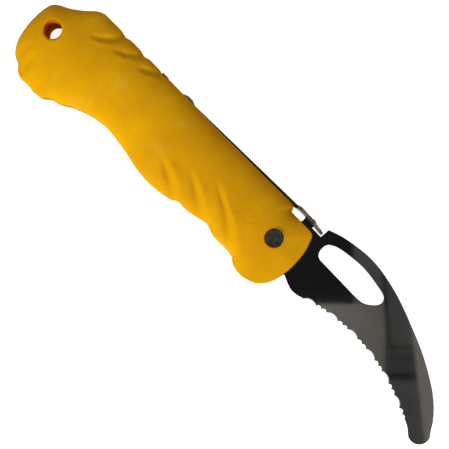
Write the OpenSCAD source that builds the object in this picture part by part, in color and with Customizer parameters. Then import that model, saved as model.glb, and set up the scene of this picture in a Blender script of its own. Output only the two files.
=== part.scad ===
// Folding rigging knife: two moulded scales over steel liners, a hooked serrated blade
// on one rivet, and a leaf lock spring along the back with a thumb tab at its end.
// Frame: origin in the middle of the lanyard hole, +X to the blade tip, +Y to the back
// of the knife, +Z out of the front face. The blade is drawn open and locked.

/* [Handle] */
// Thickness of the whole handle over both scales
handle_t = 15; // [14:0.5:18]
// Distance of the lanyard hole behind the blade pivot
hole_back = 103; // [102:0.25:104]
// Distance of the lanyard hole below the blade pivot
hole_drop = 5; // [4:0.25:6]
// Radius of the lanyard hole
hole_r = 3.15; // [2.5:0.05:3.5]
// Height of the back edge of the scales above the blade pivot
back_y = 11.8; // [11.6:0.1:12]
// Share of the half width that the crown of a scale rounds off
crown = 0.42; // [0.2:0.02:0.5]
// Depth of the three thumb notches in the back edge
notch_d = 0.6; // [0:0.1:1]

/* [Blade] */
// Thickness of the blade
blade_t = 2.5; // [2:0.1:2.6]
// Radius of the hollow cutting edge
edge_r = 65; // [60:1:70]
// Rake angle between one group of serrations and the next
group_pitch = 7.9; // [7.5:0.1:8.2]
// Closing angle of the blade
fold_angle = 175; // [170:1:176]

/* [Lock spring] */
// Thickness of the spring strip
spring_t = 1.2; // [0.8:0.1:1.3]
// Width of the spring strip between the scales
spring_w = 5; // [4:0.2:5]
// Width of the flared thumb tab
tab_w = 13; // [9:0.5:14]
// Slope of the strip along the back
spring_slope = 1.85; // [1.6:0.05:2]

/* [Pivot and fasteners] */
// Radius of the pivot barrel
barrel_r = 2.5; // [2:0.1:2.6]
// Radius of the rivet heads
rivet_r = 3.05; // [2.8:0.05:3.2]
// Radius of a scale screw's shank
screw_r = 1.1; // [0.9:0.05:1.2]
// Radius of the stop pin
stop_r = 1.4; // [1.2:0.1:1.5]

/* [Hidden] */
$fn = 64;
steps = 3;             // spline pieces from one key point to the next
fit = 0.03;            // radial clearance of a pin in its hole
head_fit = 0.2;        // radial clearance of a screw or rivet head in its counterbore
end_gap = 0.2;         // gap past the end of a pin or an insert in a blind hole
seat_gap = 0.1;        // gap between a blind end and what sits in it
cut = 1;               // how far a cutting shape runs past a face

// Stack across the handle, measured from the middle plane
washer_in = blade_t / 2 + 0.02;
washer_out = washer_in + 0.3;
liner_in = washer_out + 0.03;
liner_out = liner_in + 1;
face_z = handle_t / 2;
rim_z = liner_out + 0.8;
dome_z = face_z + 0.25;
head_seat = face_z - 1.2;
head_t = 0.9;
screw_seat = face_z - 2.6;
screw_head_t = 1.4;
screw_head_r = 2.2;
insert_r = 1.6;
insert_len = 3;

// Crown of a scale: its rings shrink towards a core line inside the handle
core_tail = -100;
core_front = 3;
core_y = -2;
core_sag = 4.3;
crown_rings = 6;
liner_inset = 0.06;
collar_wall = 0.9;
groove_floor = 10.4;   // top of the liners and the spacer, under the spring
front_top = 10.35;     // top of the scales in front of the spring's opening
opening_x = -3;        // where the spring's opening starts
opening_round = 1;     // radius of the opening's inner corner

// Places of the inner pieces, from the blade pivot
stop_at = [0, 8.2];
screw_at = [[-94, -14], [-66, 7], [-32, 7.4]];
tip_at = [80.1, -10.3];
tip_r = 3.9;
sweep_r = norm(tip_at) + tip_r + 1.8;
bushing_r = 3.5;
washer_r = 6.2;
tang_r = stop_at.y - stop_r - end_gap;
stop_gap = stop_r + fit;
root_x = -54.5;
root_top = 11.87;
spring_head_r = 2.8;
spring_head_h = 0.9;
anchor_r = 2.2;
anchor_half = 4.6;
anchor_drop = 4.9;
shank_r = 1;
pin_half = liner_out + 1.4;

function lerp(a, b, t) = a + (b - a) * t;
function clamp(v, low, high) = min(max(v, low), high);
function polar(r, a) = [r * cos(a), r * sin(a)];
function arc_points(centre, r, a0, a1, n) =
    [for (i = [0:n]) centre + polar(r, lerp(a0, a1, i / n))];

// Smooth open curve through key points, with the end points doubled
function spline_at(a, b, c, d, t) =
    0.5 * (2 * b + (c - a) * t + (2 * a - 5 * b + 4 * c - d) * t * t
           + (3 * b - a - 3 * c + d) * t * t * t);
function spline(keys, n) =
    let (last = len(keys) - 1)
    concat([for (i = [0:last - 1], k = [0:n - 1])
                spline_at(keys[max(i - 1, 0)], keys[i], keys[i + 1],
                          keys[min(i + 2, last)], k / n)],
           [keys[last]]);

// Front edge, finger waves of the belly, and tail, clockwise from the front corner
grip_keys = [
    [6.5, 10.35], [7.7, 10.1], [8.6, 9.3], [9.3, 7.6], [10.5, 4], [11.1, -2.5],
    [10.4, -8], [8.9, -12.1], [6, -15.3], [1, -16.9], [-3.3, -16.3], [-5.7, -14.7], [-9.5, -14.3], [-15, -14.4],
    [-19.6, -13], [-23.4, -13.9], [-28.5, -14.9], [-32, -14.8], [-35.3, -16.5],
    [-42, -17.6], [-49, -17.4], [-57, -15.9], [-66, -15], [-73, -15.8], [-80, -18.3],
    [-84.5, -21], [-87.6, -21.8], [-90, -23.8], [-93, -24.5], [-96.2, -24.2],
    [-99, -24.5], [-101.8, -23.6], [-103.6, -21.7], [-106.2, -20.5], [-108.2, -18.5],
    [-110.2, -14.5], [-111.4, -7.5], [-110.9, -0.6], [-109, 2.2], [-105, 4.4],
    [-100.9, 7.5], [-97.6, 10.6], [-95, 11.7]];

// Back edge: straight with three thumb notches, then a slight rise to the opening
notch_at = [-84.6, -75.4, -65.9];
notch_half = 2.6;
rise_x = -37;
rise_y = 0.6;
function notch(x) = abs(x) < notch_half ? notch_d * pow(cos(90 * x / notch_half), 2) : 0;
function back_line(x) = back_y - notch(x - notch_at[0]) - notch(x - notch_at[1])
                        - notch(x - notch_at[2]);
handle_outline = concat(
    spline(grip_keys, steps),
    [for (at = notch_at, k = [-4:4]) [at + k * notch_half / 4, back_line(at + k * notch_half / 4)]],
    [[rise_x, back_y], [opening_x - 0.9, back_y + rise_y], [opening_x, back_y]],
    arc_points([opening_x + opening_round, front_top + opening_round], opening_round, 180, 270, 5));

// Back bar of the spacer, deeper where the screws and the anchor pass
bar_low = 8;
boss_low = 4.3;
boss_back = -71;
bar_front = -28;
lug_half = 1.3;
lug_rise = 0.3;        // how far the lug stands out of its notch

function core(p) =
    let (x = clamp(p.x, core_tail, core_front), s = clamp((-66 - x) / 32, 0, 1))
    [x, core_y - core_sag * s * s * (3 - 2 * s)];
function inset(outline, share) = [for (p = outline) lerp(p, core(p), share)];

// Blade: hooked back, round tip, hollow edge and a tang with a locking tooth
edge_at = [42.5, -3.5 - edge_r];
spine_keys = [[10.6, 15.2], [15.7, 17], [22.5, 18.3], [28, 18.7], [34, 18.2],
              [42.9, 16.2], [53.1, 12.6], [63.3, 8.3], [73.3, 2.5], [79.4, -2.9],
              [82.8, -7.7]];
point_keys = [[76.1, -11.85], [74.3, -10.95], [72, -10.1]];
heel_keys = [[20.2, -7.35], [18.3, -7.85], [16, -7.95], [13.6, -7.2], [11.2, -6.2],
             [8.5, -6.2], [5, -7.6]];
tooth_ridge = [4.6, 13.65];
tooth_front = 6.2;
shoulder = [10.4, 11.65];
scoop_d = 0.8;          // hollow in the end of the tang, beside the spring's opening
scoop_half = 1.4;
function kick(r) = polar(r, 90 + fold_angle) + polar(stop_gap, 180 + fold_angle);
blade_outline = concat(
    [for (a = [-90:22.5:90]) [stop_gap + scoop_d * cos(a), 11.5 + scoop_half * sin(a)]],
    [tooth_ridge, [tooth_front, 13.2], [tooth_front, shoulder.y],
     shoulder],
    spline(spine_keys, steps),
    arc_points(tip_at, tip_r, 20, -112, 8),
    spline(point_keys, steps),
    arc_points(edge_at, edge_r, 66, 109, 24),
    spline(heel_keys, steps),
    [kick(9.4), kick(8)],
    arc_points([0, 0], tang_r, 90 + fold_angle + asin(stop_gap / tang_r),
               acos(stop_gap / tang_r), 28));
finger_keys = [[15.8, 6.05], [25, 6.03], [34.2, 6.05], [37.5, 7.1], [39.9, 9.3],
               [40.5, 11.2], [39.4, 12.9], [36, 13.8], [28, 14.75], [20, 13.95],
               [15.8, 12.8], [13.7, 11], [13.6, 8.1], [14.6, 6.5]];

// Serrations: each group is one wide scallop and two narrow ones
groups = 6;
group_start = 19;
wide = 4.25;
wide_d = 0.85;
narrow = 1.82;
narrow_d = 0.65;
tooth_land = 0.2;        // angle of the narrow land left at the tip of a tooth

// Side view of the lock spring, and the plan of its thumb tab
function strip_y(x) = root_top + (x - root_x) * tan(spring_slope);
strip_tail = -58;
tab_start = -2.9;
tab_tip = 10;
spring_outline = [
    [strip_tail, strip_y(strip_tail)], [tab_start, strip_y(tab_start)], [-1.3, 13.85],
    [3.5, 13.75], [4.4, 13.7], [4.75, 13.95], [6, 13.85], [6.2, 13.4], [8, 13.2], [tab_tip, 13], [tab_tip, 12.25], [8, 12.4],
    [3.5, 12.85], [0.5, 12.95], [-1.3, 12.9], [tab_start, strip_y(tab_start) - spring_t],
    [strip_tail, strip_y(strip_tail) - spring_t]];
window_x = [1.2, 6.5];
window_w = blade_t + 0.4;
tab_corner = 2.5;

module from_pivot() {
    translate([hole_back, hole_drop, 0])
        children();
}

module bore(at, r, z0, z1) {
    translate([at.x, at.y, min(z0, z1)])
        cylinder(r = r, h = abs(z1 - z0));
}

// Crowned form that runs a little past both flat faces of a scale
module crowned() {
    n = len(handle_outline);
    angles = [for (k = [0:crown_rings - 1]) 90 * k / (crown_rings - 1)];
    levels = concat([[0, liner_out - cut]],
                    [for (a = angles) [crown * (1 - cos(a)), lerp(rim_z, dome_z, sin(a))]]);
    last = len(levels) - 1;
    points = [for (level = levels, p = inset(handle_outline, level[0])) [p.x, p.y, level[1]]];
    walls = [for (k = [0:last - 1], i = [0:n - 1])
                 let (j = (i + 1) % n, low = k * n, high = low + n)
                 each [[low + i, high + j, high + i], [low + i, low + j, high + j]]];
    inner_cap = [for (i = [0:n - 1]) n - 1 - i];
    outer_cap = [for (i = [0:n - 1]) last * n + i];
    polyhedron(points, concat(walls, [inner_cap, outer_cap]));
}

// One scale's blank: the crowned form between its two flat faces
module shell() {
    intersection() {
        crowned();
        translate([-150, -50, liner_out])
            cube([200, 100, face_z - liner_out]);
    }
}

function anchor_at() =
    [root_x + anchor_drop * sin(spring_slope), root_top - anchor_drop * cos(spring_slope)];

// Collar round the lanyard hole, which reaches through the liner to the spacer
module hole_collar() {
    bore([-hole_back, -hole_drop], hole_r + collar_wall, liner_in, liner_out + cut);
}

// Holes that both scales share
module scale_holes() {
    bore([-hole_back, -hole_drop], hole_r, 0, face_z + cut);
    bore([0, 0], barrel_r + fit, 0, face_z + cut);
    bore([0, 0], rivet_r + head_fit, head_seat, face_z + cut);
    bore(stop_at, stop_r + fit, 0, pin_half + seat_gap);
    bore(anchor_at(), anchor_r + fit, 0, anchor_half + seat_gap);
}

module front_scale() {
    from_pivot() color("#d9980f")
        difference() {
            union() {
                shell();
                hole_collar();
            }
            scale_holes();
            for (at = screw_at)
                bore(at, insert_r + fit, 0, liner_out + insert_len + end_gap);
        }
}

module rear_scale() {
    from_pivot() color("#d9980f")
        mirror([0, 0, 1])
            difference() {
                union() {
                    shell();
                    hole_collar();
                }
                scale_holes();
                for (at = screw_at) {
                    bore(at, screw_r + fit, 0, face_z + cut);
                    bore(at, screw_head_r + head_fit, screw_seat, face_z + cut);
                }
            }
}

module liner_plate() {
    intersection() {
        polygon(inset(handle_outline, liner_inset));
        translate([-150, -50])
            square([200, 50 + groove_floor]);
    }
}

module liner() {
    difference() {
        translate([0, 0, liner_in])
            linear_extrude(liner_out - liner_in)
                liner_plate();
        bore([-hole_back, -hole_drop], hole_r + collar_wall + fit, 0, face_z);
        bore([0, 0], barrel_r + fit, 0, face_z);
        bore(stop_at, stop_r + fit, 0, face_z);
        bore(anchor_at(), anchor_r + fit, 0, face_z);
        for (at = screw_at)
            bore(at, screw_r + fit, 0, face_z);
    }
}

module front_liner() {
    from_pivot() color("#3a3a3c")
        liner();
}

module rear_liner() {
    from_pivot() color("#3a3a3c")
        mirror([0, 0, 1])
            liner();
}

// The space that the closed blade sweeps, less the back bar
module blade_well() {
    difference() {
        circle(r = sweep_r, $fn = 128);
        translate([-150, bar_low])
            square([150 + boss_back + 1, 20]);
        translate([boss_back, boss_low])
            square([bar_front - boss_back, 20]);
    }
}

// Tail block and back bar between the liners, with the lug that fills one thumb notch
module back_spacer() {
    from_pivot() color("#c07c10")
        difference() {
            union() {
                translate([0, 0, -liner_in])
                    linear_extrude(2 * liner_in)
                        difference() {
                            liner_plate();
                            blade_well();
                        }
                translate([notch_at[2] - lug_half, bar_low, -liner_in])
                    cube([2 * lug_half, back_y + lug_rise - bar_low, 2 * liner_in]);
            }
            bore([-hole_back, -hole_drop], hole_r, -face_z, face_z);
            bore(anchor_at(), anchor_r + fit, -face_z, face_z);
            for (at = screw_at)
                bore(at, screw_r + fit, -face_z, face_z);
            on_spring()
                rotate([90, 0, 0])
                    cylinder(r = shank_r + seat_gap, h = anchor_drop);
        }
}

module pivot_barrel() {
    from_pivot() color("#55565a")
        difference() {
            union() {
                bore([0, 0], barrel_r, seat_gap - head_seat, head_seat);
                bore([0, 0], rivet_r, head_seat, head_seat + head_t);
            }
            bore([0, 0], barrel_r / 2 + fit, -head_seat, -1);
        }
}

module pivot_screw() {
    from_pivot() color("#55565a")
        difference() {
            union() {
                bore([0, 0], barrel_r / 2, -head_seat, -1.5);
                bore([0, 0], rivet_r, -head_seat - head_t, -head_seat);
            }
            translate([0, 0, -head_seat - head_t - cut])
                cylinder(r = 1.2, h = cut + 0.6, $fn = 6);
        }
}

module washer() {
    difference() {
        bore([0, 0], washer_r, washer_in, washer_out);
        bore([0, 0], barrel_r + fit, 0, face_z);
    }
}

module front_washer() {
    from_pivot() color("#b08d4f")
        washer();
}

module rear_washer() {
    from_pivot() color("#b08d4f")
        mirror([0, 0, 1])
            washer();
}

module stop_pin() {
    from_pivot() color("#8a8c90")
        bore(stop_at, stop_r, -pin_half, pin_half);
}

// Moves its children to the top of the strip at the spring's root, square to the strip
module on_spring() {
    translate([root_x, root_top, 0])
        rotate([0, 0, spring_slope])
            children();
}

module spring_screw() {
    dome_r = (pow(spring_head_r, 2) + pow(spring_head_h, 2)) / (2 * spring_head_h);
    head_gap = 0.11;
    from_pivot() color("#8a8c90")
        on_spring()
            rotate([-90, 0, 0])
                difference() {
                    union() {
                        translate([0, 0, -anchor_drop - anchor_r + 0.3])
                            cylinder(r = shank_r, h = anchor_drop + anchor_r);
                        intersection() {
                            translate([0, 0, head_gap + spring_head_h - dome_r])
                                sphere(r = dome_r);
                            translate([0, 0, head_gap])
                                cylinder(r = spring_head_r + 1, h = spring_head_h + cut);
                        }
                    }
                    translate([0, 0, head_gap + spring_head_h - 0.6])
                        cylinder(r = 0.9, h = cut, $fn = 6);
                }
}

module spring_anchor() {
    from_pivot() color("#8a8c90")
        difference() {
            bore(anchor_at(), anchor_r, -anchor_half, anchor_half);
            on_spring()
                rotate([90, 0, 0])
                    cylinder(r = shank_r + fit, h = 2 * anchor_drop);
        }
}

module scale_screw(at) {
    difference() {
        union() {
            bore(at, screw_r, -screw_seat, liner_out + insert_len - 0.4);
            bore(at, screw_head_r, -screw_seat - screw_head_t, -screw_seat);
        }
        translate([at.x, at.y, -screw_seat - screw_head_t - cut])
            cylinder(r = 1, h = cut + 0.7, $fn = 6);
    }
}

module tail_screw() {
    from_pivot() color("#8a8c90")
        scale_screw(screw_at[0]);
}

module mid_screw() {
    from_pivot() color("#8a8c90")
        scale_screw(screw_at[1]);
}

module front_screw() {
    from_pivot() color("#8a8c90")
        scale_screw(screw_at[2]);
}

module insert(at) {
    difference() {
        bore(at, insert_r, liner_out, liner_out + insert_len);
        bore(at, screw_r + fit, 0, face_z);
    }
}

module tail_insert() {
    from_pivot() color("#c8a24a")
        insert(screw_at[0]);
}

module mid_insert() {
    from_pivot() color("#c8a24a")
        insert(screw_at[1]);
}

module front_insert() {
    from_pivot() color("#c8a24a")
        insert(screw_at[2]);
}

// One scallop of the edge, from angle a over a width of w degrees, d deep
module scallop(a, w, d) {
    reach = (w - tooth_land) / 2;
    half = edge_r * sin(reach);
    r = (half * half + d * d) / (2 * d);
    translate(edge_at + polar(edge_r * cos(reach) - r + d, 90 - a - w / 2))
        circle(r = r);
}

module serrations() {
    for (g = [0:groups - 1]) {
        a = g * group_pitch - group_start;
        fade = g == groups - 1 ? 1.5 : 1;
        scallop(a, wide, wide_d);
        scallop(a + wide, narrow, narrow_d * fade);
        scallop(a + wide + narrow, narrow, narrow_d * fade);
    }
}

module blade() {
    from_pivot() color("#2b2b2e")
        translate([0, 0, -blade_t / 2])
            linear_extrude(blade_t)
                difference() {
                    polygon(blade_outline);
                    circle(r = bushing_r);
                    polygon(spline(finger_keys, steps));
                    serrations();
                }
}

module blade_bushing() {
    from_pivot() color("#b08d4f")
        difference() {
            bore([0, 0], bushing_r - 0.01, -blade_t / 2, blade_t / 2);
            bore([0, 0], barrel_r + fit, -blade_t, blade_t);
        }
}

// Plan of the spring seen from above the back: narrow strip, flared tab with round corners
module spring_plan() {
    translate([strip_tail, -spring_w / 2])
        square([tab_tip - strip_tail, spring_w]);
    polygon([[tab_start, -spring_w / 2], [-1, -tab_w / 2], [tab_tip - tab_corner, -tab_w / 2],
             [tab_tip - tab_corner, tab_w / 2], [-1, tab_w / 2], [tab_start, spring_w / 2]]);
    translate([0, tab_corner - tab_w / 2])
        square([tab_tip, tab_w - 2 * tab_corner]);
    for (side = [-1, 1])
        translate([tab_tip - tab_corner, side * (tab_w / 2 - tab_corner)])
            circle(r = tab_corner);
}

module lock_spring() {
    from_pivot() color("#6e6a66")
        difference() {
            intersection() {
                translate([0, 0, -tab_w / 2])
                    linear_extrude(tab_w)
                        polygon(spring_outline);
                translate([0, 20, 0])
                    rotate([90, 0, 0])
                        linear_extrude(20)
                            spring_plan();
            }
            translate([window_x[0], 10, -window_w / 2])
                cube([window_x[1] - window_x[0], 10, window_w]);
            on_spring()
                rotate([90, 0, 0])
                    translate([0, 0, -cut])
                        cylinder(r = shank_r + seat_gap, h = 2 * cut + spring_t);
        }
}

front_scale();
rear_scale();
front_liner();
rear_liner();
back_spacer();
pivot_barrel();
pivot_screw();
front_washer();
rear_washer();
stop_pin();
spring_screw();
spring_anchor();
tail_screw();
mid_screw();
front_screw();
tail_insert();
mid_insert();
front_insert();
blade();
blade_bushing();
lock_spring();
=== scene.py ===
# %% [markdown]
# # A folding rigging knife
# Two moulded nylon scales are screwed over a pair of steel liners. A black hooked blade
# turns on one rivet between them, and a leaf spring along the back locks it. The packed
# model is the fixed frame: it gives every size and place. What follows gives each part
# the shape and the finish that the real one has.

# %% Load the frame
import math

import bpy
import numpy as np
from mathutils import Matrix, Vector


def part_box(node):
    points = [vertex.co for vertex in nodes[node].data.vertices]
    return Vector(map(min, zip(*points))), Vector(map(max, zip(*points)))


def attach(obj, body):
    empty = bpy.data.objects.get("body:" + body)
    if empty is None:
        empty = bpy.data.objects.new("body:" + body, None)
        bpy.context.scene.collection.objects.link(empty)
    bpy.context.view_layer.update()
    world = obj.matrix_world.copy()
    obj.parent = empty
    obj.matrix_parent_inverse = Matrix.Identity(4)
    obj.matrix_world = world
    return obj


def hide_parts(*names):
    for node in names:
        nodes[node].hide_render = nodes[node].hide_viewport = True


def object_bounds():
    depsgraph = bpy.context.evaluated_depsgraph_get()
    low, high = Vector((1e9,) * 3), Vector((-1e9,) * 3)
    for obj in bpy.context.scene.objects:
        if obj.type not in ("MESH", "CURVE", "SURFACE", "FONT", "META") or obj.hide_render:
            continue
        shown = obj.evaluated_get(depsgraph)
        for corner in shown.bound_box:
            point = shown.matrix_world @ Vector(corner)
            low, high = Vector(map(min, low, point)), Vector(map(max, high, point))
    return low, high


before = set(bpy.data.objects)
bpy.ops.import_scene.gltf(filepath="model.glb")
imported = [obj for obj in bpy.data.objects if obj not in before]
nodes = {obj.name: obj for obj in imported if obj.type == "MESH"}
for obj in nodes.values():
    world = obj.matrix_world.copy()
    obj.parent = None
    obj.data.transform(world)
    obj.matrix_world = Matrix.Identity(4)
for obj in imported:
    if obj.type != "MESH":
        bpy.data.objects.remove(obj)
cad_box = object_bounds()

MM = 0.001

# %% [markdown]
# Three small helpers do what a hand does in the viewport: pick one piece and nothing else,
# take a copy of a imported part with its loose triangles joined, and put a modifier on a
# piece and apply it.

# %% Helpers for picking, copying and applying
def pick(piece):
    if bpy.context.object and bpy.context.object.mode != "OBJECT":
        bpy.ops.object.mode_set(mode="OBJECT")
    bpy.ops.object.select_all(action="DESELECT")
    piece.select_set(True)
    bpy.context.view_layer.objects.active = piece


def copy_of(node, name):
    piece = nodes[node].copy()
    piece.data = piece.data.copy()
    piece.name = piece.data.name = name
    piece.parent = None
    for key in list(piece.keys()):
        del piece[key]
    bpy.context.scene.collection.objects.link(piece)
    pick(piece)
    bpy.ops.object.mode_set(mode="EDIT")
    bpy.ops.mesh.select_all(action="SELECT")
    bpy.ops.mesh.remove_doubles(threshold=0.001 * MM)
    bpy.ops.mesh.dissolve_limited(angle_limit=math.radians(1))
    bpy.ops.object.mode_set(mode="OBJECT")
    if piece.data.has_custom_normals:
        bpy.ops.mesh.customdata_custom_splitnormals_clear()
    return piece


def apply(piece, kind, **settings):
    modifier = piece.modifiers.new(kind, kind)
    for key, value in settings.items():
        setattr(modifier, key, value)
    pick(piece)
    bpy.ops.object.modifier_apply(modifier=modifier.name)


def places(piece):
    spots = np.empty(len(piece.data.vertices) * 3)
    piece.data.vertices.foreach_get("co", spots)
    return spots.reshape(-1, 3) / MM


def put_places(piece, spots):
    piece.data.vertices.foreach_set("co", (spots * MM).ravel())
    piece.data.update()


def facing(piece):
    arrows = np.empty(len(piece.data.vertices) * 3)
    piece.data.vertex_normals.foreach_get("vector", arrows)
    return arrows.reshape(-1, 3)


# %% [markdown]
# ## Camera
# The knife lies on a table and the camera looks down on it from about half a metre, with
# the blade pointing to the lower right. The lens stands over the blade's root and looks a
# little back towards the handle, so the shift stays at zero.

# %% Camera
LENS_FOOT = Vector((124.0, -8.0, 480)) * MM
LOOKS_AT = Vector((87.7, -3.8, 0)) * MM
KNIFE_TURN = math.radians(46)
FIELD = 152.3 * MM  # what the view spans at the table
SENSOR = 36

camera_data = bpy.data.cameras.new("camera")
camera = bpy.data.objects.new("camera", camera_data)
bpy.context.scene.collection.objects.link(camera)
bpy.context.scene.camera = camera
back = (LENS_FOOT - LOOKS_AT).normalized()
right = Vector((math.cos(KNIFE_TURN), math.sin(KNIFE_TURN), 0))
right = (right - back * right.dot(back)).normalized()
up = back.cross(right)
turned = Matrix((right, up, back)).transposed().to_4x4()
camera.matrix_world = Matrix.Translation(LENS_FOOT) @ turned
camera_data.sensor_width = SENSOR
camera_data.lens = SENSOR * (LENS_FOOT - LOOKS_AT).length / FIELD
camera_data.clip_start = 10 * MM
print("lens:", round(camera_data.lens, 1), "mm")

# %% [markdown]
# ## Node helpers
# Colours are written as they look on a screen and turned to linear light. One function
# adds a node, sets what it is given, and links what it is given a socket for.

# %% Colour and node helpers
def colour(hex_text):
    parts = [int(hex_text[i:i + 2], 16) / 255 for i in (1, 3, 5)]
    linear = [p / 12.92 if p <= 0.04045 else ((p + 0.055) / 1.055) ** 2.4 for p in parts]
    return (*linear, 1)


def add(finish, kind, inputs={}, ramp=None, **settings):
    made = finish.node_tree.nodes.new(kind)
    for key, value in settings.items():
        setattr(made, key, value)
    for key, value in inputs.items():
        if isinstance(value, bpy.types.NodeSocket):
            finish.node_tree.links.new(value, made.inputs[key])
        else:
            made.inputs[key].default_value = value
    if ramp:
        stops = made.color_ramp.elements
        while len(stops) < len(ramp):
            stops.new(0.5)
        for stop, (place, shade) in zip(stops, ramp):
            stop.position, stop.color = place, shade
    return made


def new_finish(name, **sockets):
    finish = bpy.data.materials.new(name)
    finish.use_nodes = True
    shader = finish.node_tree.nodes["Principled BSDF"]
    for key, value in sockets.items():
        shader.inputs[key.replace("_", " ")].default_value = value
    spot = add(finish, "ShaderNodeTexCoord").outputs["Object"]
    return finish, shader, spot


def join(finish, socket, target):
    finish.node_tree.links.new(socket, target)


def grey(level):
    return (level, level, level, 1)


PER_MM = 1 / MM  # a pattern's scale is this over its size in millimetres

# %% [markdown]
# ## Yellow nylon
# The scales are glass-filled nylon, coloured through. The mould was spark-eroded, so the
# skin has a fine dull grain, and the filler shows as a faint mottling a few millimetres
# across. Handling has left paler patches. Nylon's IOR is 1.53.

# %% Yellow nylon
NYLON_IOR = 1.53
# sizes of its patterns in mm: clouds of pigment, specks of filler, scuffs, and the mould's
# grain, which is really about 0.15 mm across and is drawn coarser so that it shows
CLOUD, SPECK, SCUFF, GRAIN = 14, 0.8, 17, 0.5
GRAIN_HEIGHT = 0.03 * MM


def nylon(name, dark, light, scuffed):
    finish, shader, spot = new_finish(name, Roughness=0.55, IOR=NYLON_IOR,
                                      Specular_IOR_Level=0.04)
    cloud = add(finish, "ShaderNodeTexNoise",
                {"Vector": spot, "Scale": PER_MM / CLOUD, "Detail": 3, "Roughness": 0.55})
    cloud_tone = add(finish, "ShaderNodeValToRGB", {"Fac": cloud.outputs["Fac"]},
                     [(0.3, colour(dark)), (0.7, colour(light))])
    speck = add(finish, "ShaderNodeTexNoise",
                {"Vector": spot, "Scale": PER_MM / SPECK, "Detail": 3, "Roughness": 0.6})
    speck_tone = add(finish, "ShaderNodeValToRGB", {"Fac": speck.outputs["Fac"]},
                     [(0.3, grey(0.93)), (0.7, grey(1.0))])
    mottled = add(finish, "ShaderNodeMix",
                  {0: 1.0, 6: cloud_tone.outputs[0], 7: speck_tone.outputs[0]},
                  data_type="RGBA", blend_type="MULTIPLY")
    rub = add(finish, "ShaderNodeTexNoise",
              {"Vector": spot, "Scale": PER_MM / SCUFF, "Detail": 5, "Roughness": 0.7})
    rub_share = add(finish, "ShaderNodeMapRange",
                    {"Value": rub.outputs["Fac"], "From Min": 0.6, "From Max": 0.74,
                     "To Max": scuffed})
    scuff = add(finish, "ShaderNodeMix",
                {0: rub_share.outputs[0], 6: mottled.outputs[2], 7: colour("#d8a93c")},
                data_type="RGBA")
    join(finish, scuff.outputs[2], shader.inputs["Base Color"])
    grain = add(finish, "ShaderNodeTexNoise",
                {"Vector": spot, "Scale": PER_MM / GRAIN, "Detail": 2})
    skin = add(finish, "ShaderNodeBump",
               {"Strength": 0.6, "Distance": GRAIN_HEIGHT, "Height": grain.outputs["Fac"]})
    join(finish, skin.outputs[0], shader.inputs["Normal"])
    return finish


yellow_nylon = nylon("yellow_nylon_spark_eroded", "#c88a00", "#d79b00", 0.35)
# the spacer's nylon is a darker, more orange copy of the yellow: painted shade of the thumb
# notches
spacer_nylon_painted_shade = nylon("nylon_spacer_painted_shade", "#b86c00", "#c67800", 0.0)

# %% [markdown]
# A core pin shaped the wall of the lanyard hole and left it dull. The wall gets a deeper orange
# nylon without gloss, which is painted shade and painted bounce light of the deep hole. The
# spacer that shows in the thumb notches gets a darker nylon without gloss, which is painted
# shade.

# %% Nylon with painted shade for the lanyard hole and the notches
# deeper orange nylon for the lanyard hole's wall: painted shade and painted bounce light
bore_nylon_painted_shade = nylon("yellow_nylon_bore_painted_shade", "#d07000", "#dc7a00", 0.0)
for deep in (spacer_nylon_painted_shade, bore_nylon_painted_shade):
    deep.node_tree.nodes["Principled BSDF"].inputs["Specular IOR Level"].default_value = 0

# %% [markdown]
# ## Black blade coat
# The blade is polished stainless steel under a hard dark vapour-deposited coat. It mirrors
# what stands around it at about a tenth of its brightness. Wiping leaves hairlines that
# run along the blade and only show where they break up a reflection.

# %% Black blade coat
HAIRLINE, HAZE = 0.4, 9  # width of the hairlines and of the haze's clouds in mm
black_coat, shader, spot = new_finish("black_coated_blade_steel", Metallic=1.0)
along = add(black_coat, "ShaderNodeMapping", {"Vector": spot, "Scale": (0.06, 1, 1)})
hairline = add(black_coat, "ShaderNodeTexNoise",
               {"Vector": along.outputs[0], "Scale": PER_MM / HAIRLINE, "Detail": 3})
wiped = add(black_coat, "ShaderNodeMapRange",
            {"Value": hairline.outputs["Fac"], "From Min": 0.35, "From Max": 0.75,
             "To Min": 0.025, "To Max": 0.055})
join(black_coat, wiped.outputs[0], shader.inputs["Roughness"])
haze = add(black_coat, "ShaderNodeTexNoise",
           {"Vector": spot, "Scale": PER_MM / HAZE, "Detail": 4})
haze_tone = add(black_coat, "ShaderNodeValToRGB", {"Fac": haze.outputs["Fac"]},
                [(0.3, colour("#535251")), (0.7, colour("#585756"))])
join(black_coat, haze_tone.outputs[0], shader.inputs["Base Color"])

# %% [markdown]
# ## Metals
# Each metal keeps its own look: ground steel on the cutting bevels, blued spring steel
# that has worn bare on the thumb tab, blackened and pocked rivet heads, plated fasteners,
# dark sheared liners, brass and phosphor bronze.

# %% Ground steel of the serrations
GRIT = 0.15  # mm between the marks of the wheel
ground_steel, shader, spot = new_finish("ground_edge_steel", Metallic=1.0, Roughness=0.28)
along = add(ground_steel, "ShaderNodeMapping", {"Vector": spot, "Scale": (1, 1, 0.1)})
grit = add(ground_steel, "ShaderNodeTexNoise",
           {"Vector": along.outputs[0], "Scale": PER_MM / GRIT, "Detail": 2})
grit_tone = add(ground_steel, "ShaderNodeValToRGB", {"Fac": grit.outputs["Fac"]},
                [(0.3, colour("#8f8f90")), (0.7, colour("#b4b4b3"))])
join(ground_steel, grit_tone.outputs[0], shader.inputs["Base Color"])

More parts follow.
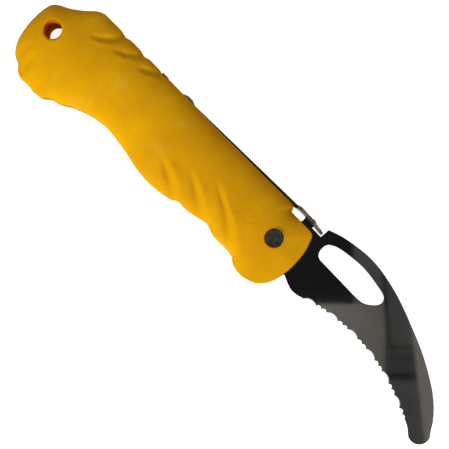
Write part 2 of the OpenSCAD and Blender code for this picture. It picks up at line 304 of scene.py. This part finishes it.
# %% Spring steel, dark along the strip and rubbed bare on the tab
TAB_LENGTH, RUB_FADE = 12.9 * MM, 7 * MM  # the tab, and how far the bare part fades in
RUB_WIDTH = 0.45  # mm across a rub mark
spring_steel, shader, spot = new_finish("spring_steel_oiled", Metallic=1.0)
parts_of = add(spring_steel, "ShaderNodeSeparateXYZ", {"Vector": spot})
tab_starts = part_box("lock_spring")[1].x - TAB_LENGTH
rubbed = add(spring_steel, "ShaderNodeMapRange",
             {"Value": parts_of.outputs["X"], "From Min": tab_starts,
              "From Max": tab_starts + RUB_FADE})
grinding = add(spring_steel, "ShaderNodeMapping", {"Vector": spot, "Scale": (0.12, 1, 0.12)})
rub_noise = add(spring_steel, "ShaderNodeTexNoise",
                {"Vector": grinding.outputs[0], "Scale": PER_MM / RUB_WIDTH, "Detail": 4})
bare_tone = add(spring_steel, "ShaderNodeValToRGB", {"Fac": rub_noise.outputs["Fac"]},
                [(0.38, colour("#3a2f28")), (0.66, colour("#988e84"))])
dark_tone = add(spring_steel, "ShaderNodeValToRGB", {"Fac": rub_noise.outputs["Fac"]},
                [(0.3, colour("#2c2723")), (0.7, colour("#443d37"))])
spring_tone = add(spring_steel, "ShaderNodeMix",
                  {0: rubbed.outputs[0], 6: dark_tone.outputs[0], 7: bare_tone.outputs[0]},
                  data_type="RGBA")
join(spring_steel, spring_tone.outputs[2], shader.inputs["Base Color"])
spring_rough = add(spring_steel, "ShaderNodeMapRange",
                   {"Value": rub_noise.outputs["Fac"], "To Min": 0.25, "To Max": 0.5})
join(spring_steel, spring_rough.outputs[0], shader.inputs["Roughness"])

# %% Blackened rivet steel with small pocks
POCK, BLOT = 0.9, 1.2  # mm between the pocks and across the blots
POCK_DEPTH = 0.08 * MM
rivet_steel, shader, spot = new_finish("blackened_rivet_steel", Metallic=0.7, Roughness=0.5)
pock = add(rivet_steel, "ShaderNodeTexVoronoi", {"Vector": spot, "Scale": PER_MM / POCK})
blot = add(rivet_steel, "ShaderNodeTexNoise",
           {"Vector": spot, "Scale": PER_MM / BLOT, "Detail": 4})
blot_tone = add(rivet_steel, "ShaderNodeValToRGB", {"Fac": blot.outputs["Fac"]},
                [(0.3, colour("#1d1a18")), (0.72, colour("#3e3a37"))])
join(rivet_steel, blot_tone.outputs[0], shader.inputs["Base Color"])
pits = add(rivet_steel, "ShaderNodeMapRange",
           {"Value": pock.outputs["Distance"], "From Max": 0.35})
pitted = add(rivet_steel, "ShaderNodeBump",
             {"Strength": 0.5, "Distance": POCK_DEPTH, "Height": pits.outputs[0]})
join(rivet_steel, pitted.outputs[0], shader.inputs["Normal"])

# %% Plated fasteners, dark liners, brass and bronze
plain_metals = {
    # name: dark tone, light tone, roughness, size of its pattern in mm
    "plated_fastener_steel": ("#57585b", "#84868a", 0.32, 0.6),
    "dark_sheared_liner_steel": ("#2f2f30", "#4a4a4b", 0.42, 0.7),
    "turned_brass": ("#a98a48", "#cdb06a", 0.3, 0.5),
    "phosphor_bronze": ("#8f6f3f", "#b8935a", 0.35, 0.5),
}
metals = {}
for name, (dark, light, rough, size) in plain_metals.items():
    metal, shader, spot = new_finish(name, Metallic=1.0)
    streak = add(metal, "ShaderNodeTexNoise",
                 {"Vector": spot, "Scale": PER_MM / size, "Detail": 4})
    tone = add(metal, "ShaderNodeValToRGB", {"Fac": streak.outputs["Fac"]},
               [(0.3, colour(dark)), (0.7, colour(light))])
    join(metal, tone.outputs[0], shader.inputs["Base Color"])
    dull = add(metal, "ShaderNodeMapRange",
               {"Value": streak.outputs["Fac"], "To Min": rough - 0.1, "To Max": rough + 0.1})
    join(metal, dull.outputs[0], shader.inputs["Roughness"])
    metals[name] = metal
print("finishes:", len(bpy.data.materials))


def give(piece, *finishes):
    piece.data.materials.clear()
    for finish in finishes:
        piece.data.materials.append(finish)


# %% [markdown]
# ## The two scales
# A scale is moulded in one piece: a soft crown that swells towards the middle line, finger
# waves along the belly, and slanting flutes that run into the waves and into the thumb
# notches of the back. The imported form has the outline, the holes and a crown in flat
# rings. A fine even skin of small faces is laid over it, smoothed into one curve, and the
# flutes are then pressed into that skin as a modeller presses clay.

# %% Flutes of the grip
# Each flute is a line of points in mm, and a form. A form gives the half width at both
# ends of the line, the depth at both ends, how far the groove lies to the left of the
# line, and the height of the crest that stands up on the line's other side.
BELLY = dict(width=(0.8, 2.2), depth=(0.0, 0.68), shift=-1.2, crest=0.22)
SPINE = dict(width=(0.8, 1.5), depth=(0.0, 0.52), shift=0.7, crest=0.12)
TAIL = dict(width=(2.0, 1.1), depth=(0.8, 0.0), shift=0.0, crest=0.0)
flutes = [
    ([(56.7, -1.9), (61.2, -3.8), (64.1, -5.1), (66.5, -6.5), (70.7, -9.8)], BELLY),
    ([(66.2, 2.2), (70.8, -0.1), (74.4, -2.2), (78.0, -4.3), (84.0, -8.1)], BELLY),
    ([(74.6, 6.1), (80.0, 3.6), (84.4, 1.4), (88.4, -1.2), (92.7, -4.5), (97.3, -9.2)], BELLY),
    ([(9.5, 6.6), (14.1, 9.4), (17.0, 12.2), (18.7, 16.6)], SPINE),
    ([(18.8, 9.2), (23.5, 11.5), (26.3, 14.0), (27.8, 16.6)], SPINE),
    ([(28.8, 10.8), (33.4, 13.2), (35.7, 15.1), (37.2, 16.8)], SPINE),
    ([(-2.2, -15.4), (-2.3, -10.2), (-1.2, -6.1)], TAIL),
    ([(2.2, -17.3), (1.3, -12.2), (0.5, -7.6)], TAIL),
    ([(10.0, -19.3), (9.4, -14.9), (9.4, -11.2)], TAIL),
    ([(17.2, -17.9), (16.0, -13.4)], TAIL),
]


def along_line(spots, line):
    """How far each spot is along the line, from 0 to 1, and to the left of it in mm."""
    line = np.array(line, float)
    steps = line[1:] - line[:-1]
    lengths = np.hypot(steps[:, 0], steps[:, 1])
    starts = np.concatenate([[0], np.cumsum(lengths)])
    best = np.full(len(spots), 1e9)
    share, left = np.zeros(len(spots)), np.zeros(len(spots))
    for i, (step, length) in enumerate(zip(steps, lengths)):
        ahead = step / length
        off = spots[:, :2] - line[i]
        run = off @ ahead
        side = off[:, 1] * ahead[0] - off[:, 0] * ahead[1]
        over = run - np.clip(run, 0, length)
        away = np.hypot(side, over)
        near = away < best
        best[near] = away[near]
        share[near] = (starts[i] + np.clip(run, 0, length))[near] / starts[-1]
        left[near] = side[near]
    past = np.sqrt(np.maximum(best ** 2 - left ** 2, 0))
    return share, left, past


def smooth_step(t):
    t = np.clip(t, 0, 1)
    return t * t * (3 - 2 * t)


SWELLS_BY, FADES_OVER = 0.42, 0.9  # share of a line over which a flute deepens, or fades
CREST_OFF = 0.9  # how far a crest stands off its line, in half widths
END_FADE = 1.5  # mm past the end of a line over which a flute runs out


def flute_depth(spots):
    total = np.zeros(len(spots))
    for line, form in flutes:
        share, left, past = along_line(spots, line)
        swells = form["depth"][0] == 0
        rise = smooth_step(share / SWELLS_BY if swells else (1 - share) / FADES_OVER)
        width = form["width"][0] + (form["width"][1] - form["width"][0]) * share
        depth = max(form["depth"]) * rise
        groove = np.exp(-((left - form["shift"]) / width) ** 2)
        crest = np.exp(-((left + np.sign(form["shift"]) * CREST_OFF * width) / width) ** 2)
        shape = depth * groove - form["crest"] * rise * crest
        total += shape * np.exp(-(past / END_FADE) ** 2)
    return total


print("flutes:", len(flutes))

# %% [markdown]
# The skin is a voxel remesh at about a third of a millimetre. Each point of the crown is set
# to the height of one smooth curve: lowest at the outline, highest on the core line that
# runs down the middle of the handle. How far a point is from each of the two says where on
# the curve it belongs. Screw and rivet holes are left crisp, and the lanyard hole's lip is
# rounded over.

# %% Lay the skin of a scale and give it its crown
from mathutils.kdtree import KDTree

SKIN = 0.32  # side of a voxel
HOLE_R = 3.15
LIP, LIP_DEPTH = 0.8, 0.4  # width and depth of the rounding of the lanyard hole's lip
RIM_Z, CROWN_Z = 3.4, 7.5  # height of the crown at the outline and on the core line
CROWN_POWER = 1.9
CORE_TAIL, CORE_FRONT = 3, 109  # ends of the core line
CORE_Y, CORE_DROP = 3, 4.3  # its height above the hole, and how much it sinks to the tail
DROP_FROM, DROP_OVER = 37, 32
FRONT_FROM, FRONT_OVER, FRONT_FULLER = 101, 8, 0.3  # the crown is fuller towards the blade
GATE_MARK = (92.2, 5.0, 3.4)  # round mark of the mould's gate: place and radius
GATE_DEPTH, GATE_EDGE = 0.07, 0.6
LOOKS_OUT, LOOKS_OVER = 0.02, 0.2  # how far outward a face of the crown looks at least
WALL_TOP, WALL_FADE = 3.2, 0.5  # height at which the side wall turns into the crown
RIM_HELD, RIM_EASE = 0.4, 1.5  # mm at the outline that are smoothed least
LEAST_SOFT = 0.15  # the share of the smoothing that reaches the walls
NEAR = 0.4  # mm around a hole that count as its edge
BORE_REACH = 0.25  # mm outside its radius up to which the lanyard hole's wall goes
# bores that show in the flat inner face: lanyard hole, rivet, stop pin, anchor, screws
BORES = [(0, 0, 3.15), (103, 5, 3.25), (103, 13.2, 1.43), (48.66, 11.97, 2.23),
         (9, -9, 1.63), (37, 12, 1.63), (71, 12.4, 1.63)]


def core_line(x):
    return CORE_Y - CORE_DROP * smooth_step((DROP_FROM - x) / DROP_OVER)


def crown_share(spots, arrows, side):
    """Where each spot is on the crown, from 0 on the core line to 1 at the outline, and
    how far it is from the outline in mm."""
    height = spots[:, 2] * side
    wall = (abs(arrows[:, 2]) < 0.3) & (height > RIM_Z - 0.5) & (height < RIM_Z + 0.1)
    for x, y, r in BORES:
        wall &= np.hypot(spots[:, 0] - x, spots[:, 1] - y) > r + NEAR
    tree = KDTree(int(wall.sum()))
    for i, (x, y) in enumerate(spots[wall, :2]):
        tree.insert((x, y, 0), i)
    tree.balance()
    to_rim = np.array([tree.find((x, y, 0))[2] for x, y in spots[:, :2]])
    x = np.clip(spots[:, 0], CORE_TAIL, CORE_FRONT)
    to_core = np.hypot(spots[:, 0] - x, spots[:, 1] - core_line(x))
    return to_core / (to_core + to_rim + 0.001), to_rim


def paint_bore_shade(scale):
    """Gives the wall of the lanyard hole the second finish, a deeper orange that is painted
    shade.
    """
    centres = np.empty(len(scale.data.polygons) * 3, np.float32)
    scale.data.polygons.foreach_get("center", centres)
    centres = centres.reshape(-1, 3) / MM
    shaded_bore_faces = np.hypot(centres[:, 0], centres[:, 1]) < HOLE_R + BORE_REACH
    scale.data.polygons.foreach_set("material_index", shaded_bore_faces.astype(np.int32))


def skinned_scale(node, side, keep_crisp):
    scale = copy_of(node, node + "_skin")
    apply(scale, "REMESH", mode="VOXEL", voxel_size=SKIN * MM)
    spots, arrows = places(scale), facing(scale)
    for x, y, r in keep_crisp:
        off = np.hypot(spots[:, 0] - x, spots[:, 1] - y)
        arrows[off < r, 2] = 0
    share, to_rim = crown_share(spots, arrows, side)
    share *= 1 - FRONT_FULLER * smooth_step((spots[:, 0] - FRONT_FROM) / FRONT_OVER)
    outward = smooth_step((arrows[:, 2] * side - LOOKS_OUT) / LOOKS_OVER)
    outward *= smooth_step((spots[:, 2] * side - WALL_TOP) / WALL_FADE)
    curve = (1 - share ** CROWN_POWER) ** (1 / CROWN_POWER)
    target = RIM_Z + (CROWN_Z - RIM_Z) * curve
    spots[:, 2] += outward * (target * side - spots[:, 2])
    put_places(scale, spots)
    group = scale.vertex_groups.new(name="soft")
    inside = smooth_step((to_rim - RIM_HELD) / RIM_EASE)
    weights = LEAST_SOFT + (1 - LEAST_SOFT) * outward * inside
    for x, y, r in keep_crisp:
        weights[np.hypot(spots[:, 0] - x, spots[:, 1] - y) < r + NEAR] = 0
    for i, weight in enumerate(weights):
        group.add([i], float(weight), "REPLACE")
    apply(scale, "SMOOTH", vertex_group="soft", factor=0.5, iterations=10)
    spots = places(scale)
    pressed = flute_depth(spots)
    gate_x, gate_y, gate_r = GATE_MARK
    gate = np.hypot(spots[:, 0] - gate_x, spots[:, 1] - gate_y)
    pressed += GATE_DEPTH * smooth_step((gate_r - gate) / GATE_EDGE)
    from_hole = np.hypot(spots[:, 0], spots[:, 1])
    pressed += LIP_DEPTH * np.clip((HOLE_R + LIP - from_hole) / LIP, 0, 1) ** 2
    spots[:, 2] -= side * outward * pressed
    put_places(scale, spots)
    apply(scale, "SMOOTH", vertex_group="soft", factor=0.5, iterations=3)
    scale.vertex_groups.clear()
    pick(scale)
    bpy.ops.object.shade_smooth()
    spots = places(scale)  # a crest that rises past the crown would pass through the table
    spots[:, 2] = np.clip(spots[:, 2], -CROWN_Z, CROWN_Z)
    put_places(scale, spots)
    # the second finish goes on the lanyard hole's wall as painted shade
    give(scale, yellow_nylon, bore_nylon_painted_shade)
    paint_bore_shade(scale)
    print(scale.name, "faces:", len(scale.data.polygons))
    return scale


# holes that stay crisp: place, and radius with its counterbore
RIVET = (103, 5, 3.4)
SCREWS = [(9, -9, 2.6), (37, 12, 2.6), (71, 12.4, 2.6)]

# %% Front and rear scale
front_skin = skinned_scale("front_scale", 1, [RIVET])
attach(front_skin, "handle")
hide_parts("front_scale")

rear_skin = skinned_scale("rear_scale", -1, [RIVET] + SCREWS)
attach(rear_skin, "handle")
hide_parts("rear_scale")

# %% [markdown]
# ## The blade
# The blade is blanked from 2.5 mm sheet. Its serrations are ground from the rear only, as
# on a chisel, so the front stays one flat face with the cutting edge along it. Each
# scallop is cut here with a tilted round wheel, one Boolean each, exactly where the packed
# blade has its scallop. The spine and the finger hole get a fine broken edge.

# %% Grind the serrations
EDGE_CENTRE = Vector((145.5, -63.5, 0))
EDGE_R = 65
GROUPS, PITCH, START = 6, 7.9, 19
TEETH = [(0, 4.25, 0.85), (4.25, 1.82, 0.65), (6.07, 1.82, 0.65)]
TOOTH_LAND = 0.2
LAST_DEEPER = 1.5  # the two narrow scallops next to the tip are cut deeper
FRONT_FACE = 1.25
WHEEL_TILT, WHEEL_WIDTH = 25, 12
GRIND_BACK = 3.2  # how far behind the edge the grinds reach


def wheel_at(angle, width, deep):
    reach = math.radians((width - TOOTH_LAND) / 2)
    half = EDGE_R * math.sin(reach)
    radius = (half * half + deep * deep) / (2 * deep)
    turn = math.radians(90 - angle - width / 2)
    out = Vector((math.cos(turn), math.sin(turn), 0))
    centre = EDGE_CENTRE + out * (EDGE_R * math.cos(reach) - radius + deep)
    return centre, out, radius


def grind(blade, centre, out, radius):
    tilt = math.radians(WHEEL_TILT)
    bpy.ops.mesh.primitive_cylinder_add(vertices=40, radius=radius * MM,
                                        depth=WHEEL_WIDTH * MM)
    wheel = bpy.context.object
    across = Vector((0, 0, 1)).cross(out)
    lean = Matrix.Rotation(tilt, 4, across)
    at = centre + Vector((0, 0, FRONT_FACE + 0.02))
    wheel.data.transform(Matrix.Translation(at * MM) @ lean)
    apply(blade, "BOOLEAN", operation="DIFFERENCE", object=wheel, solver="MANIFOLD")
    bpy.data.objects.remove(wheel)


coated_blade = copy_of("blade", "blade_ground")
for group in range(GROUPS):
    for start, width, deep in TEETH:
        deeper = LAST_DEEPER if group == GROUPS - 1 and start else 1
        grind(coated_blade, *wheel_at(group * PITCH - START + start, width, deep * deeper))
print("blade faces after grinding:", len(coated_blade.data.polygons))

# %% Break the edges of the spine and the finger hole
import bmesh

pick(coated_blade)
bpy.ops.object.mode_set(mode="EDIT")
bpy.ops.mesh.select_all(action="DESELECT")
form = bmesh.from_edit_mesh(coated_blade.data)
PAST_TANG, BREAK = 114, 0.18  # where the broken edges start, and their width
chosen = 0
for edge in form.edges:
    middle = (edge.verts[0].co + edge.verts[1].co) / 2 / MM
    level = abs(edge.verts[0].co.z - edge.verts[1].co.z) < 1e-6
    flat = level and abs(abs(middle.z) - FRONT_FACE) < 0.01
    corner = len(edge.link_faces) == 2 and edge.calc_face_angle() > math.radians(60)
    away = (middle - EDGE_CENTRE).to_2d().length
    if flat and corner and away > EDGE_R + GRIND_BACK and middle.x > PAST_TANG:
        edge.select_set(True)
        chosen += 1
bmesh.update_edit_mesh(coated_blade.data)
bpy.ops.mesh.bevel(offset=BREAK * MM, segments=2, affect="EDGES", clamp_overlap=True)
bpy.ops.object.mode_set(mode="OBJECT")
print("edges broken:", chosen)

# %% Blade finish
give(coated_blade, black_coat, ground_steel)
for face in coated_blade.data.polygons:
    slant = face.normal.z < -0.2 and face.normal.z > -0.9
    away = (face.center / MM - EDGE_CENTRE).to_2d().length
    if slant and away < EDGE_R + GRIND_BACK:
        face.material_index = 1
pick(coated_blade)
bpy.ops.object.shade_smooth_by_angle(angle=math.radians(25))
for face in coated_blade.data.polygons:
    if abs(face.normal.z) > 0.999:
        face.use_smooth = False
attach(coated_blade, "blade")
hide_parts("blade")

# %% [markdown]
# ## Turned and stamped metal
# Turned heads and stamped strips never have knife-sharp corners: the tool or the tumbler
# breaks them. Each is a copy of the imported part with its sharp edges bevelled, and the
# rivet's heads are dished a little by the setting tool.

# %% Break the sharp edges of the metal pieces
def broken_edges(node, name, body, finish, size, segments=3):
    piece = copy_of(node, name)
    apply(piece, "BEVEL", width=size * MM, segments=segments, limit_method="ANGLE",
          angle_limit=math.radians(40))
    pick(piece)
    bpy.ops.object.shade_smooth_by_angle(angle=math.radians(30))
    give(piece, finish)
    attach(piece, body)
    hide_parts(node)


def dish(piece, side, top, depth):
    """Presses a shallow dish into the end face of a rivet head."""
    pick(piece)
    bpy.ops.object.mode_set(mode="EDIT")
    bpy.ops.mesh.select_mode(type="FACE")
    bpy.ops.mesh.select_all(action="DESELECT")
    form = bmesh.from_edit_mesh(piece.data)
    for face in form.faces:
        if face.normal.z * side > 0.99 and face.calc_center_median().z * side > top * MM:
            face.select_set(True)
    bmesh.update_edit_mesh(piece.data)
    for width, drop in ((0.3, 0), (0.25, depth), (0.8, depth / 2)):
        bpy.ops.mesh.inset(thickness=width * MM, depth=-drop * MM)
    bpy.ops.object.mode_set(mode="OBJECT")


barrel = copy_of("pivot_barrel", "pivot_barrel_set")
dish(barrel, side=1, top=7.15, depth=0.08)
apply(barrel, "BEVEL", width=0.2 * MM, segments=3, limit_method="ANGLE",
      angle_limit=math.radians(50))
pick(barrel)
bpy.ops.object.shade_smooth_by_angle(angle=math.radians(30))
give(barrel, rivet_steel)
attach(barrel, "handle")
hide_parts("pivot_barrel")

broken_edges("pivot_screw", "pivot_screw_set", "handle", rivet_steel, 0.15)
broken_edges("lock_spring", "lock_spring_stamped", "lock_spring",
             spring_steel, 0.18)
# the spring's screw shows as a dome on the back, blackened like the rivet
plated = metals["plated_fastener_steel"]
for screw in ("tail_screw", "mid_screw", "front_screw", "spring_screw"):
    finish = rivet_steel if screw == "spring_screw" else plated
    broken_edges(screw, screw + "_turned", "handle", finish, 0.12)
# the spacer shows in the thumb notches, and its darker nylon is painted shade
broken_edges("back_spacer", "back_spacer_moulded", "handle", spacer_nylon_painted_shade, 0.15, 2)

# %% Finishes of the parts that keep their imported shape
kept = {
    "front_liner": "dark_sheared_liner_steel", "rear_liner": "dark_sheared_liner_steel",
    "front_washer": "phosphor_bronze", "rear_washer": "phosphor_bronze",
    "blade_bushing": "phosphor_bronze",
    "tail_insert": "turned_brass", "mid_insert": "turned_brass", "front_insert": "turned_brass",
    "stop_pin": "plated_fastener_steel", "spring_anchor": "plated_fastener_steel",
}
for node, finish in kept.items():
    for holder in nodes[node].material_slots:
        holder.material = metals[finish]
print("kept parts:", len(kept))

# %% [markdown]
# ## Table and light
# The knife lies on a plain white table under soft light from the belly side. Polished
# black steel shows only what it mirrors, so cards hang over the table for the blade to
# mirror: a dark one over the handle side, a pale one, and dimmer bands towards the tip.

# %% White table
MID_KNIFE = 90 * MM
TABLE_GLOW = 0.85
bpy.ops.mesh.primitive_plane_add(size=6, location=(MID_KNIFE, 0, cad_box[0][2]))
table = bpy.context.object
table.name = "table"
table_white, shader, spot = new_finish("white_table", Roughness=0.9)
shader.inputs["Base Color"].default_value = colour("#f4f4f4")
shader.inputs["Emission Color"].default_value = (1, 1, 1, 1)
shader.inputs["Emission Strength"].default_value = TABLE_GLOW
give(table, table_white)
table.visible_diffuse = False

# %% Soft light from the belly side and a white room
KEY_PLACE = Vector((0.22, -0.78, 0.46))  # metres
KEY_SIZE, KEY_POWER = 0.5, 11  # metres and watts
ROOM_LEVEL = 0.42
lamp = bpy.data.lights.new("key", "AREA")
lamp.shape, lamp.size, lamp.energy = "SQUARE", KEY_SIZE, KEY_POWER
lamp.color = (1.0, 1.04, 0.9)
key = bpy.data.objects.new("key", lamp)
bpy.context.scene.collection.objects.link(key)
key.location = KEY_PLACE
aim = Vector((MID_KNIFE, 0, 0)) - KEY_PLACE
key.rotation_euler = aim.to_track_quat("-Z", "Y").to_euler()
key.visible_glossy = False  # the blade would mirror it as a white patch
room = bpy.data.worlds.new("room")
bpy.context.scene.world = room
room.use_nodes = True
room.node_tree.nodes["Background"].inputs["Color"].default_value = (1, 1, 1, 1)
room.node_tree.nodes["Background"].inputs["Strength"].default_value = ROOM_LEVEL
bpy.context.scene.view_settings.view_transform = "Standard"
print("key light:", round(aim.length, 2), "m away")

# %% Cards that the blade mirrors
CARD_HEIGHT = 600
PIVOT = Vector((103, 5, 0))
ACROSS = Vector((math.cos(KNIFE_TURN), math.sin(KNIFE_TURN), 0))
DOWN = Vector((math.sin(KNIFE_TURN), -math.cos(KNIFE_TURN), 0))
WARM, PLAIN = (1.0, 0.93, 0.85), (1.0, 1.0, 1.0)


def card(name, left, right_end, top, bottom, glows, tint=PLAIN, lift=0, lean=0):
    """A flat card whose sides are given in mm across and down from the rivet. It glows
    from the first level at its left to the second at its right. A card with more lift
    hangs in front of one with less."""
    paint = bpy.data.materials.new(name)
    paint.use_nodes = True
    paint.node_tree.nodes.clear()
    own = add(paint, "ShaderNodeTexCoord").outputs["UV"]
    run = add(paint, "ShaderNodeSeparateXYZ", {"Vector": own})
    fade = add(paint, "ShaderNodeMapRange",
               {"Value": run.outputs["Y"], "To Min": glows[0], "To Max": glows[-1]})
    glow = add(paint, "ShaderNodeEmission", {"Color": (*tint, 1), "Strength": fade.outputs[0]})
    add(paint, "ShaderNodeOutputMaterial", {"Surface": glow.outputs[0]})
    bpy.ops.mesh.primitive_plane_add(size=1)
    piece = bpy.context.object
    piece.name = name
    middle = PIVOT + ACROSS * (left + right_end) / 2 + DOWN * (top + bottom) / 2
    middle.z = CARD_HEIGHT - lift
    turn = Matrix.Rotation(KNIFE_TURN - math.pi / 2 + math.radians(lean), 4, "Z")
    size = Matrix.Diagonal(((bottom - top) * MM, (right_end - left) * MM, 1, 1))
    piece.data.transform(Matrix.Translation(middle * MM) @ turn @ size)
    piece.visible_camera = piece.visible_diffuse = piece.visible_shadow = False
    piece.visible_transmission = False
    give(piece, paint)


card("dim_wall", -500, 600, -600, 600, [0.42])
card("pale_wall", -22, 77, 19, 600, [1.97, 0.87], tint=WARM, lift=2)
card("far_pale_wall", -500, -22, 19, 600, [1.97], tint=WARM, lift=2)
card("upper_wall", 52, 76, -600, 19, [0.5], lift=4)
card("dark_card", -500, 53, -500, 19.2, [0.085], lift=6)
card("door_edge", 75.8, 79.3, -5, 56, [0.17], lift=8, lean=4)
card("sill_1", 76, 106, 49.7, 52.2, [0.18], lift=10)
card("sill_2", 76, 106, 52.2, 57.9, [0.32], lift=10)
card("sill_3", 76, 106, 57.9, 60.6, [0.2], lift=10)
card("sill_4", 76, 106, 60.6, 70.2, [0.3], lift=10)
card("sill_5", 76, 106, 70.2, 75.6, [0.12], lift=10)
card("pale_door", 101.5, 400, -600, 760, [1.28], tint=WARM, lift=12, lean=6.4)
